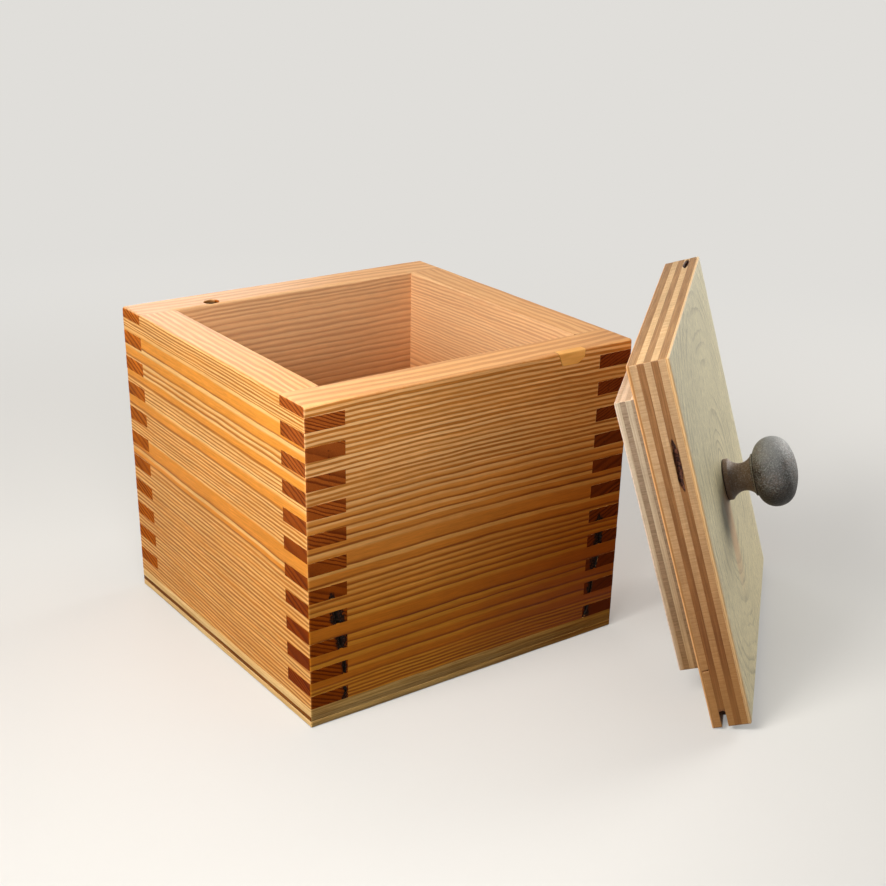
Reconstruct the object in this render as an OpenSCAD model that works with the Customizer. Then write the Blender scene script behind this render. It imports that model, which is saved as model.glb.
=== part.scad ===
// Square finger-jointed softwood box with a glued plywood base and a loose plywood lid.
// The lid carries a turned knob and a locating panel that drops into the box. It stands on
// its lower edge beside the box and leans on the box's front right corner.
// Origin: centre of the box's underside. X runs along the front wall, Z is up.

/* [Part shown] */
// the piece that is drawn, or all of them
// where the lid is: leaning on the box or closed on top of it
lid_place = "leaning"; // [leaning, closed]

/* [Box] */
// outside length of the front and back walls
box_w = 173; // [150:1:200]
// outside length of the left and right walls
box_d = 169; // [150:1:200]
// thickness of the four wall boards
wall_t = 19.05; // [15:0.05:22]
// height of one finger row
finger_h = 6.35; // [5:0.05:8]
// number of finger rows, the top one included
finger_rows = 22; // [20:2:24]
// height of the top row, left over when the boards were trimmed
top_finger_h = 4.75; // [3:0.05:5]
// gap between a finger and the notch it sits in
joint_gap = 0.1; // [0.05:0.01:0.2]
// chamfer that eases the box's outside edges
edge_ease = 0.7; // [0.2:0.1:1.2]

/* [Base] */
// thickness of the base's upper veneer
base_upper_t = 4.1; // [2.5:0.1:6]
// thickness of its dark crossband
base_core_t = 2.1; // [1.2:0.1:4]
// thickness of its lower veneer
base_lower_t = 3.3; // [2.5:0.1:6]

/* [Edge patch] */
// distance from the patch to the front wall's right end
patch_from_right = 28.1; // [25:0.1:90]
// length of the patch along the top edge
patch_w = 15.6; // [11:0.1:18]
// depth of the patch below the top edge
patch_h = 6.3; // [5.2:0.1:10]
// how far the patch's left end slants in
patch_left_in = 2.9; // [1:0.1:4.5]
// depth of its upright right end
patch_right_h = 4; // [2.5:0.1:4.8]
// how far the slope below that end runs in
patch_right_in = 3.9; // [2:0.1:5]
// how far the patch goes into the wall
patch_t = 3.2; // [2:0.1:6]
// gap all round the patch in its recess
patch_gap = 0.08; // [0.05:0.01:0.15]

/* [Knot hole] */
// distance from the back wall's left end to the hole
knot_from_left = 39.7; // [30:0.1:120]
// radius of the hole
knot_r = 4; // [2:0.1:4.5]
// depth of the hole
knot_depth = 9; // [4:0.5:14]
// distance of the hole's centre from the wall's inner face
knot_inset = 3.4; // [2.5:0.1:8]
// slope of the hole away from the box's inside
knot_tilt = 18; // [0:1:25]

/* [Lid plate] */
// thickness of the seven-ply lid plate
lid_t = 17.5; // [15:0.1:20]
// thickness of each of its two face veneers
veneer_t = 1.5; // [0.8:0.1:2]
// distance from the lower edge to the butt in the first core ply
butt_from_edge = 28.8; // [15:0.1:60]
// slope of that butt
butt_angle = 8; // [0:1:15]
// gap left in that butt
butt_gap = 0.15; // [0.1:0.01:0.3]

/* [Core gaps] */
// length of the knotty void in the near edge
void_len = 23.5; // [10:0.5:40]
// distance from the lower edge to the middle of that void
void_from_edge = 123.8; // [60:0.5:130]
// depth of that void
void_depth = 6; // [3:0.5:10]
// height of the core gap at the lower near corner
corner_gap_h = 8; // [4:0.5:14]
// depth of that core gap
corner_gap_depth = 11; // [6:0.5:16]
// length of the core gap in the top edge
top_gap_len = 17.5; // [8:0.5:25]
// distance from the lid's far edge to that gap
top_gap_inset = 2.3; // [1:0.1:8]
// depth of that gap
top_gap_depth = 4.5; // [2:0.5:8]

/* [Locating panel] */
// thickness of the five-ply panel
panel_t = 12; // [9:0.1:15]
// gap between the panel and each wall when the lid is closed
panel_gap = 1; // [0.4:0.1:2]

/* [Knob] */
// diameter of the knob's flattened ball head
head_d = 33; // [30:0.1:36]
// thickness of the head
head_h = 21; // [19.5:0.1:23]
// radius of the head's rounded rim
rim_r = 8.8; // [7:0.1:9.4]
// diameter of the foot
foot_d = 19.6; // [18:0.1:21]
// diameter at the narrowest point of the neck
neck_d = 13.2; // [12:0.1:14.5]
// radius of the hollow that shapes the neck
cove_r = 6.2; // [5.6:0.1:6.8]
// height of the narrowest point above the lid
neck_h = 8; // [7.5:0.1:8.5]
// diameter of the collar under the head
collar_d = 20; // [18.5:0.1:21]
// height of the head's underside, where it would meet the axis
head_base_h = 12.2; // [11.8:0.1:13]
// knob's offset from the middle of the lid, along its lower edge
knob_off_x = 1.5; // [-5:0.5:5]
// knob's offset from the middle of the lid, up the lid
knob_off_y = -3.5; // [-5:0.5:5]

/* [Knob screw] */
// diameter of the screw's shank
screw_d = 4; // [3:0.1:4.5]
// diameter of its countersunk head
screw_head_d = 8; // [7:0.1:9]
// depth of the countersunk head
screw_head_h = 2.6; // [2:0.1:3]
// how far the screw goes into the knob
screw_bite = 15; // [8:0.5:18]
// gap round the shank in the lid
screw_gap = 0.2; // [0.1:0.05:0.4]
// width of the slot in the head
slot_w = 1; // [0.8:0.1:1.2]
// depth of the slot
slot_h = 1.2; // [0.8:0.1:1.4]

/* [Leaning lid] */
// turn of the lid about the vertical, from the front wall
lid_yaw = 41.3; // [30:0.1:60]
// distance on the ground from the box's corner to the lid's lower edge
foot_gap = 56; // [40:0.5:70]
// distance from the lid's near edge to the corner it leans on
corner_along = 84.9; // [40:0.1:120]
// gap left where the panel's top edge rests on the corner
rest_gap = 0.3; // [0.1:0.05:0.5]

/* [Hidden] */
$fn = 96;
over = 1;  // how far a cutting tool stands proud of what it cuts
thread_gap = 0.03;  // between the screw and the wood that it bites into

// box
base_t = base_lower_t + base_core_t + base_upper_t;
wall_h = (finger_rows - 1) * finger_h + top_finger_h;
box_h = base_t + wall_h;
corner_x = box_w / 2;
corner_y = -box_d / 2;

// lid, in its own frame: X along the lower edge from the near end, Y up the lid, Z out to the knob
lid_w = box_w;
lid_h = box_d;
core_count = 5;
core_t = (lid_t - 2 * veneer_t) / core_count;
panel_ply_count = 5;
panel_ply_t = panel_t / panel_ply_count;
panel_margin = wall_t + panel_gap;
knob_x = lid_w / 2 + knob_off_x;
knob_y = lid_h / 2 + knob_off_y;

// knob head: a rim arc of rim_r and a crown arc tangent to it
head_r = head_d / 2;
head_half = head_h / 2;
rim_at = head_r - rim_r;
crown_r = (rim_at * rim_at + head_half * head_half - rim_r * rim_r) / (2 * (head_half - rim_r));
crown_at = crown_r - head_half;
join_r = crown_r * rim_at / (crown_r - rim_r);
head_mid = head_base_h + head_half;
stem_top = head_base_h + head_half / 2;

// leaning lid: the panel's top edge meets the eased corner of the box, or, if it reaches
// above the rim, the panel's face meets the corner's top
corner_in = edge_ease * min(sin(lid_yaw), cos(lid_yaw));
panel_top = lid_h - panel_margin;
panel_reach = norm([panel_top, panel_t]);
foot_reach = foot_gap + corner_in - rest_gap;
lean_on_edge = asin(foot_reach / panel_reach) - atan2(panel_t, panel_top);
edge_up_at = panel_top * cos(lean_on_edge) - panel_t * sin(lean_on_edge);
corner_up = box_h - edge_ease;
lean_on_face = acos(panel_t / norm([foot_reach, corner_up])) - atan2(corner_up, foot_reach);
lid_lean = edge_up_at <= corner_up ? lean_on_edge : lean_on_face;
lid_foot_x = corner_x + foot_gap * sin(lid_yaw) - corner_along * cos(lid_yaw);
lid_foot_y = corner_y - foot_gap * cos(lid_yaw) - corner_along * sin(lid_yaw);

function row_bottom(r) = box_h - top_finger_h - r * finger_h;
function row_height(r) = r == 0 ? top_finger_h : finger_h;
function core_z(i) = veneer_t + (i - 1) * core_t;
function panel_z(i) = -i * panel_ply_t;

// the box's outside block with its edges eased, between two heights
module outside(z0, z1, ease_top, ease_low) {
    c = edge_ease;
    ct = ease_top ? c : 0;
    cl = ease_low ? c : 0;
    w = box_w / 2;
    d = box_d / 2;
    intersection() {
        translate([0, 0, z0])
            linear_extrude(z1 - z0)
                polygon([[-w + c, -d], [w - c, -d], [w, -d + c], [w, d - c],
                         [w - c, d], [-w + c, d], [-w, d - c], [-w, -d + c]]);
        if (ease_top || ease_low) {
            translate([0, d + over, 0])
                rotate([90, 0, 0])
                    linear_extrude(box_d + 2 * over)
                        side_outline(w, z0, z1, ct, cl);
            translate([-w - over, 0, 0])
                rotate([90, 0, 90])
                    linear_extrude(box_w + 2 * over)
                        side_outline(d, z0, z1, ct, cl);
        }
    }
}

module side_outline(half, z0, z1, ct, cl) {
    top = ct > 0 ? [[half, z1 - ct], [half - ct, z1], [-half + ct, z1], [-half, z1 - ct]]
                 : [[half, z1], [-half, z1]];
    low = cl > 0 ? [[-half, z0 + cl], [-half + cl, z0], [half - cl, z0], [half, z0 + cl]]
                 : [[-half, z0], [half, z0]];
    polygon(concat(top, low));
}

// a wall board lying along X with its outer face at y = 0, fingers on rows first, first + 2, ...
module board(len, first) {
    shoulder = len - 2 * wall_t;
    translate([-shoulder / 2, 0, base_t])
        cube([shoulder, wall_t, wall_h]);
    for (r = [first : 2 : finger_rows - 1]) {
        low = r == finger_rows - 1 ? 0 : joint_gap / 2;
        high = r == 0 ? 0 : joint_gap / 2;
        translate([-len / 2, 0, row_bottom(r) + low])
            cube([len, wall_t, row_height(r) - low - high]);
    }
}

// outline of the edge patch on the front face, grown by g, top side open to the edge
module patch_outline(g) {
    right_in = patch_w - patch_right_in + g / 2;
    polygon([[-g, over], [-g, 0], [patch_left_in - g, -patch_h - g], [right_in, -patch_h - g],
             [patch_w + g, -patch_right_h - g / 2], [patch_w + g, over]]);
}

module patch_block(g) {
    translate([box_w / 2 - patch_from_right - patch_w, -box_d / 2 + patch_t + g, box_h])
        rotate([90, 0, 0])
            linear_extrude(patch_t + g + over)
                patch_outline(g);
}

module front_wall() {
    color("#b9702f")
        difference() {
            intersection() {
                translate([0, -box_d / 2, 0])
                    board(box_w, 0);
                outside(base_t, box_h, true, false);
            }
            patch_block(patch_gap);
        }
}

module back_wall() {
    color("#c98a4e")
        difference() {
            intersection() {
                translate([0, box_d / 2 - wall_t, 0])
                    board(box_w, 0);
                outside(base_t, box_h, true, false);
            }
            translate([-box_w / 2 + knot_from_left, box_d / 2 - wall_t + knot_inset, box_h])
                rotate([knot_tilt, 0, 0])
                    translate([0, 0, -knot_depth])
                        cylinder(h = knot_depth + 2 * over, r = knot_r);
        }
}

module left_wall() {
    color("#d9893a")
        intersection() {
            translate([-box_w / 2, 0, 0])
                rotate([0, 0, -90])
                    board(box_d, 1);
            outside(base_t, box_h, true, false);
        }
}

module right_wall() {
    color("#c77f3c")
        intersection() {
            translate([box_w / 2, 0, 0])
                rotate([0, 0, 90])
                    board(box_d, 1);
            outside(base_t, box_h, true, false);
        }
}

module edge_patch() {
    color("#c98a3f")
        intersection() {
            patch_block(0);
            outside(base_t, box_h, true, false);
        }
}

module base_upper_ply() {
    color("#cbb184")
        outside(base_t - base_upper_t, base_t, false, false);
}

module base_core_ply() {
    color("#7a5326")
        outside(base_lower_t, base_lower_t + base_core_t, false, false);
}

module base_lower_ply() {
    color("#c7ab7c")
        outside(0, base_lower_t, false, true);
}

// puts the lid's own frame where the lid is
module lid_at() {
    if (lid_place == "closed") {
        translate([-lid_w / 2, -lid_h / 2, box_h])
            children();
    } else {
        translate([lid_foot_x, lid_foot_y, 0])
            rotate([90 - lid_lean, 0, lid_yaw])
                children();
    }
}

// clearance hole for the screw's shank through the lid and panel
module screw_hole() {
    translate([knob_x, knob_y, -panel_t - over])
        cylinder(h = panel_t + lid_t + 2 * over, d = screw_d + 2 * screw_gap);
}

// one full veneer of the lid plate
module lid_ply(z, t) {
    difference() {
        translate([0, 0, z])
            cube([lid_w, lid_h, t]);
        screw_hole();
    }
}

// the half-plane of the lid below the butt in the first core ply
module below_butt(shift) {
    translate([-over, butt_from_edge + shift, -over])
        rotate([0, 0, butt_angle])
            translate([-lid_w, -2 * lid_h, 0])
                cube([3 * lid_w, 2 * lid_h, lid_t + 2 * over]);
}

module lid_inner_veneer() {
    color("#b98a55")
        lid_at()
            lid_ply(0, veneer_t);
}

module lid_core_1_long() {
    color("#d6b27c")
        lid_at()
            difference() {
                lid_ply(core_z(1), core_t);
                below_butt(butt_gap / 2);
            }
}

module lid_core_1_short() {
    color("#cfa871")
        lid_at()
            intersection() {
                lid_ply(core_z(1), core_t);
                below_butt(-butt_gap / 2);
            }
}

module lid_core_2() {
    color("#8f6236")
        lid_at()
            difference() {
                lid_ply(core_z(2), core_t);
                translate([-over, -over, core_z(2) - over])
                    linear_extrude(core_t + 2 * over)
                        polygon([[0, 0], [corner_gap_depth + over, 0],
                                 [0.5 * corner_gap_depth, 0.55 * corner_gap_h + over],
                                 [over, corner_gap_h + over], [0, corner_gap_h + over]]);
            }
}

module lid_core_3() {
    color("#d3af7b")
        lid_at()
            lid_ply(core_z(3), core_t);
}

module lid_core_4() {
    color("#8a5c32")
        lid_at()
            difference() {
                lid_ply(core_z(4), core_t);
                translate([0, void_from_edge - void_len / 2, core_z(4) - over])
                    linear_extrude(core_t + 2 * over)
                        polygon([[-over, 0], [0, 0], [0.55 * void_depth, 0.2 * void_len],
                                 [void_depth, 0.45 * void_len], [0.7 * void_depth, 0.75 * void_len],
                                 [0, void_len], [-over, void_len]]);
                translate([lid_w - top_gap_inset - top_gap_len, lid_h, core_z(4) - over])
                    linear_extrude(core_t + 2 * over)
                        polygon([[0, over], [0, 0], [0.25 * top_gap_len, -top_gap_depth],
                                 [0.8 * top_gap_len, -top_gap_depth], [top_gap_len, 0],
                                 [top_gap_len, over]]);
            }
}

module lid_core_5() {
    color("#d0a974")
        lid_at()
            lid_ply(core_z(5), core_t);
}

module lid_outer_veneer() {
    color("#bdb596")
        lid_at()
            lid_ply(lid_t - veneer_t, veneer_t);
}

// countersink for the screw's head, grown by its gap
module countersink() {
    r1 = screw_head_d / 2 + screw_gap;
    r2 = screw_d / 2 + screw_gap;
    translate([knob_x, knob_y, -panel_t])
        cylinder(h = screw_head_h, r1 = r1, r2 = r2);
    translate([knob_x, knob_y, -panel_t - over])
        cylinder(h = over, r = r1);
}

// one veneer of the locating panel, counted from the lid plate
module panel_ply(i) {
    difference() {
        translate([panel_margin, panel_margin, panel_z(i)])
            cube([lid_w - 2 * panel_margin, lid_h - 2 * panel_margin, panel_ply_t]);
        screw_hole();
        countersink();
    }
}

module panel_ply_1() {
    color("#c3a687")
        lid_at()
            panel_ply(1);
}

module panel_ply_2() {
    color("#a98a6f")
        lid_at()
            panel_ply(2);
}

module panel_ply_3() {
    color("#c6ab8d")
        lid_at()
            panel_ply(3);
}

module panel_ply_4() {
    color("#a5866b")
        lid_at()
            panel_ply(4);
}

module panel_ply_5() {
    color("#c2a488")
        lid_at()
            panel_ply(5);
}

// half profile of the knob, axis along Y, foot at y = 0
module knob_profile() {
    difference() {
        union() {
            square([foot_d / 2, neck_h]);
            translate([0, neck_h])
                square([collar_d / 2, stem_top - neck_h]);
        }
        translate([neck_d / 2 + cove_r, neck_h])
            circle(r = cove_r);
    }
    intersection() {
        translate([rim_at, head_mid])
            circle(r = rim_r);
        translate([0, head_base_h])
            square([head_r, head_h]);
    }
    intersection() {
        translate([0, head_mid - crown_at])
            circle(r = crown_r);
        translate([0, head_mid + crown_at])
            circle(r = crown_r);
        translate([0, head_mid - head_half])
            square([join_r, head_h]);
    }
}

module lid_knob() {
    color("#7f7466")
        lid_at()
            translate([knob_x, knob_y, lid_t])
                difference() {
                    rotate_extrude()
                        knob_profile();
                    translate([0, 0, -over])
                        cylinder(h = screw_bite + over + thread_gap, d = screw_d + 2 * thread_gap);
                }
}

module knob_screw() {
    color("#8d8f92")
        lid_at()
            translate([knob_x, knob_y, -panel_t])
                difference() {
                    union() {
                        cylinder(h = screw_head_h, r1 = screw_head_d / 2, r2 = screw_d / 2);
                        cylinder(h = panel_t + lid_t + screw_bite, d = screw_d);
                    }
                    translate([-screw_head_d, -slot_w / 2, -over])
                        cube([2 * screw_head_d, slot_w, slot_h + over]);
                }
}

front_wall();
back_wall();
left_wall();
right_wall();
edge_patch();
base_upper_ply();
base_core_ply();
base_lower_ply();
lid_inner_veneer();
lid_core_1_long();
lid_core_1_short();
lid_core_2();
lid_core_3();
lid_core_4();
lid_core_5();
lid_outer_veneer();
panel_ply_1();
panel_ply_2();
panel_ply_3();
panel_ply_4();
panel_ply_5();
lid_knob();
knob_screw();
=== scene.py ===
import math
import bmesh
import bpy
import numpy as np
from mathutils import Matrix, Vector, noise as mnoise


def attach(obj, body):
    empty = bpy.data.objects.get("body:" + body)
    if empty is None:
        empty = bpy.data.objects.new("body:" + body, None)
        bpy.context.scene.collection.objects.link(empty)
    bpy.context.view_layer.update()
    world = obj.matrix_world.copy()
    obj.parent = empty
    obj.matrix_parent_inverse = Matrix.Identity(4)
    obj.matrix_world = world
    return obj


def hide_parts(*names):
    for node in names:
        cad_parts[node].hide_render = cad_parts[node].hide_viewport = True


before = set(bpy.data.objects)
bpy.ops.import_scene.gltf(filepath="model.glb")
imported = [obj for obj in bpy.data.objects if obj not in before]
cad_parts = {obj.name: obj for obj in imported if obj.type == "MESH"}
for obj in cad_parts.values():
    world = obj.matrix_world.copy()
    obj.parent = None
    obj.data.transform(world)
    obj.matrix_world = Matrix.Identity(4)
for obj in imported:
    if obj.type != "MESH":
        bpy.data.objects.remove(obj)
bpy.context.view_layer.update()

# ---------------- sizes, in millimetres, as in part.scad
WIDTH, DEPTH, WALL = 173.0, 169.0, 19.05  # the box's outside and its wall thickness
TOP = 147.6  # height of the rim
BASE_HEIGHTS = (0.0, 3.3, 5.4, 9.5)  # where the base's plies meet
BASE = BASE_HEIGHTS[-1]
ROW, TOP_ROW, ROWS, GLUE_GAP = 6.35, 4.75, 22, 0.1
X0, X1, Y0, Y1 = -WIDTH / 2, WIDTH / 2, -DEPTH / 2, DEPTH / 2
KNOT_X, KNOT_Y, KNOT_R, KNOT_LEAN = -46.8, 69.3, 4.0, 18.0
PATCH_W, PATCH_H, PATCH_D = 15.6, 6.3, 3.2
PATCH_X = X1 - 28.1 - PATCH_W
# the patch's two ends: (depth below the rim, distance in from its upper left corner)
PATCH_LEFT = [(0.0, 0.0), (5.5, 2.3), (6.1, 2.9), (PATCH_H, 3.6)]
PATCH_RIGHT = [(0.0, PATCH_W), (3.6, 15.55), (4.3, 15.0), (6.1, 12.1), (PATCH_H, 11.3)]

FACE_PLY, CORE_PLY, SHEET, SHEETS = 1.5, 2.9, 2.4, 5
PLATE, PANEL = 2 * FACE_PLY + 5 * CORE_PLY, SHEETS * SHEET
PLY_HEIGHTS = [0.0] + [FACE_PLY + CORE_PLY * i for i in range(6)] + [PLATE]
PANEL_IN = WALL + 1.0  # how far the panel stands in from the plate's edges
BUTT, BUTT_GAP, BUTT_SLANT = 28.8, 0.15, 8.0  # the slanting joint in the first core ply
NOTCH_X, NOTCH_Y = 11.0, 8.0  # the open gap at the corner of the second core ply
NEAR_VOID, TOP_VOID = (112.05, 135.55), (153.2, 170.7)  # the fourth core ply's voids, along the edges
KNOB_X, KNOB_Y = 88.0, 81.0  # the knob's axis on the plate
YAW, FOOT_GAP, ALONG, REST_GAP, CORNER_EASE = math.radians(41.3), 56.0, 84.9, 0.3, 0.7

# the leaning lid's frame: X along its lower edge, Y up its slope, Z out of its knob face
PANEL_TOP = DEPTH - PANEL_IN
REACH = FOOT_GAP + CORNER_EASE * min(math.sin(YAW), math.cos(YAW)) - REST_GAP
LEAN = math.asin(REACH / math.hypot(PANEL_TOP, PANEL)) - math.atan2(PANEL, PANEL_TOP)
FOOT_X = X1 + FOOT_GAP * math.sin(YAW) - ALONG * math.cos(YAW)
FOOT_Y = Y0 - FOOT_GAP * math.cos(YAW) - ALONG * math.sin(YAW)
LID = (Matrix.Translation((FOOT_X / 1000, FOOT_Y / 1000, 0)) @ Matrix.Rotation(YAW, 4, "Z")
       @ Matrix.Rotation(math.radians(90) - LEAN, 4, "X"))

ARRIS = 0.14  # radius of a ply's sharpest edges
ON = 1e-6  # a point this close to a plane lies on it


def row_bottom(row):
    return TOP - TOP_ROW - ROW * row


# ---------------- mesh helpers
def lines(marks, step):
    """Grid lines through all the marks, never further apart than step."""
    marks = sorted(set(round(mark, 4) for mark in marks))
    out = []
    for a, b in zip(marks, marks[1:]):
        parts = max(1, math.ceil((b - a) / step - 1e-6))
        out += [a + (b - a) * i / parts for i in range(parts)]
    return np.array(out + [marks[-1]])


def near(plane, sign, radius=1.5):
    """Close grid lines beside a plane whose edges are rounded."""
    return [plane + sign * radius * share for share in (0, 0.1, 0.24, 0.42, 0.66, 1.0)]


def grid(xs, ys, zs, full=None):
    """The closed skin of the filled cells of a grid, or of all its cells: points and outward quads."""
    marks = (xs, ys, zs)
    counts = [len(each) for each in marks]
    if full is None:
        full = np.ones([count - 1 for count in counts], bool)
    filled = np.pad(full, 1)
    unit = np.eye(3, dtype=int)[:, :, None]
    quads = []
    for axis in range(3):
        one, two = unit[(axis + 1) % 3], unit[(axis + 2) % 3]
        below, above = [slice(1, -1)] * 3, [slice(1, -1)] * 3
        below[axis], above[axis] = slice(None, -1), slice(1, None)
        below, above = filled[tuple(below)], filled[tuple(above)]
        for skin, flip in ((below & ~above, False), (~below & above, True)):
            at = np.stack(np.nonzero(skin))
            corners = (at, at + one, at + one + two, at + two)
            quad = np.stack([np.ravel_multi_index(tuple(corner), counts) for corner in corners], 1)
            quads.append(quad[:, ::-1] if flip else quad)
    quads = np.concatenate(quads)
    used, renumbered = np.unique(quads, return_inverse=True)
    points = [each[i] for each, i in zip(marks, np.unravel_index(used, counts))]
    return np.stack(points, 1), renumbered.reshape(quads.shape)


def circle(count):
    """The cosines and sines of evenly spaced angles."""
    angles = [2 * math.pi * i / count for i in range(count)]
    return [(math.cos(angle), math.sin(angle)) for angle in angles]


def lumpy(x, y, z):
    """Smooth noise, about -1 to 1, at one place."""
    return mnoise.noise(Vector((x, y, z)))


def wobble(points, scale, seed=0.0):
    """Smooth noise, about -1 to 1, at each point; scale in mm."""
    return np.array([lumpy(x / scale + seed, y / scale - seed, z / scale + 2 * seed) for x, y, z in points])


def soften(points, planes, radius):
    """Rounds the edges and corners where the given planes meet. planes: (axis, position, inward sign)."""
    radius = np.broadcast_to(radius, len(points))
    short = np.zeros_like(points)
    for axis, position, sign in planes:
        inside = (points[:, axis] - position) * sign
        hit = (inside < radius) & (inside > -ON)
        short[hit, axis] = (inside - radius)[hit] * sign
    reach = np.linalg.norm(short, axis=1)
    scale = np.where(reach > radius + 1e-9, radius / np.maximum(reach, 1e-9), 1.0)
    return points + short * (scale - 1)[:, None]


def smooth(ob, sharp=32):
    ob.data.polygons.foreach_set("use_smooth", [True] * len(ob.data.polygons))
    ob.data.set_sharp_from_angle(angle=math.radians(sharp))


def mesh_object(name, points, faces, place=None, sharp=32):
    """A smooth-shaded object from points in mm. place: its matrix, where it has its own."""
    mesh = bpy.data.meshes.new(name)
    in_metres = [tuple(point) for point in np.asarray(points) / 1000]
    mesh.from_pydata(in_metres, [], [tuple(int(i) for i in face) for face in faces])
    mesh.validate()
    mesh.update()
    ob = bpy.data.objects.new(name, mesh)
    bpy.context.scene.collection.objects.link(ob)
    if place is not None:
        ob.matrix_world = place
    smooth(ob, sharp)
    return ob


def bake(ob):
    """Bakes the object's modifiers into its mesh."""
    bpy.context.view_layer.update()
    got = bpy.data.meshes.new_from_object(ob.evaluated_get(bpy.context.evaluated_depsgraph_get()))
    ob.modifiers.clear()
    old = ob.data
    ob.data = got
    got.name = ob.name
    bpy.data.meshes.remove(old)


def carve(ob, cutter, keep=False):
    """Cuts a shape out of an object. keep: whether the cutter is needed again."""
    change = ob.modifiers.new("cut", "BOOLEAN")
    change.operation, change.solver, change.object = "DIFFERENCE", "EXACT", cutter
    bake(ob)
    smooth(ob)
    if not keep:
        bpy.data.objects.remove(cutter)


def ease(ob, width):
    """A tiny bevel on the cut edges that are still sharp."""
    change = ob.modifiers.new("ease", "BEVEL")
    change.width, change.segments = width / 1000, 1
    change.limit_method, change.angle_limit = "ANGLE", math.radians(50)
    change.use_clamp_overlap = True
    bake(ob)
    smooth(ob)


def vertices(ob):
    flat = np.empty(len(ob.data.vertices) * 3)
    ob.data.vertices.foreach_get("co", flat)
    return flat.reshape(-1, 3) * 1000


def paint(ob, name, values):
    """Stores one number for each vertex, for the materials to read."""
    ob.data.attributes.new(name, "FLOAT", "POINT").data.foreach_set("value", np.asarray(values, float))


def lump(name, rings, place=None):
    """A closed tube through rings of points, capped at both ends."""
    n = len(rings[0])
    last = (len(rings) - 1) * n
    points = [point for ring in rings for point in ring]
    faces = []
    for i in range(0, last, n):
        faces += [(i + j, i + (j + 1) % n, i + n + (j + 1) % n, i + n + j) for j in range(n)]
    faces += [tuple(range(n))[::-1], tuple(range(last, last + n))]
    ob = mesh_object(name, points, faces, place)
    bm = bmesh.new()
    bm.from_mesh(ob.data)
    bmesh.ops.recalc_face_normals(bm, faces=bm.faces)
    bm.to_mesh(ob.data)
    bm.free()
    return ob


# ---------------- material helpers
def rgb(r, g, b):
    """A colour as it should look, 0-255, as Blender's linear values."""
    linear = [c / 255 / 12.92 if c <= 10.3 else ((c / 255 + 0.055) / 1.055) ** 2.4 for c in (r, g, b)]
    return (*linear, 1.0)


def blend(a, b, share):
    """The colour that lies the given share of the way from a to b."""
    return tuple(p + (q - p) * share for p, q in zip(a, b))


def math_node(operation):
    return lambda a, b=0.0: a.mat.math(operation, a, b)


class Value:
    """What a node gives out. It takes + - * / and abs(), so that materials can be written as formulas."""

    __add__, __sub__, __mul__, __truediv__ = map(math_node, ("ADD", "SUBTRACT", "MULTIPLY", "DIVIDE"))
    __abs__, floor, fract = map(math_node, ("ABSOLUTE", "FLOOR", "FRACT"))

    def __init__(self, mat, socket):
        self.mat, self.socket = mat, socket

    def __rsub__(self, number):
        return self.mat.math("SUBTRACT", number, self)

    def step(self, start, end, a=0.0, b=1.0):
        """Goes smoothly from a to b as this value goes from start to end."""
        node = self.mat.node("ShaderNodeMapRange", interpolation_type="SMOOTHSTEP")
        return self.mat.fill(node, (self, start, end, a, b))


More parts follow.
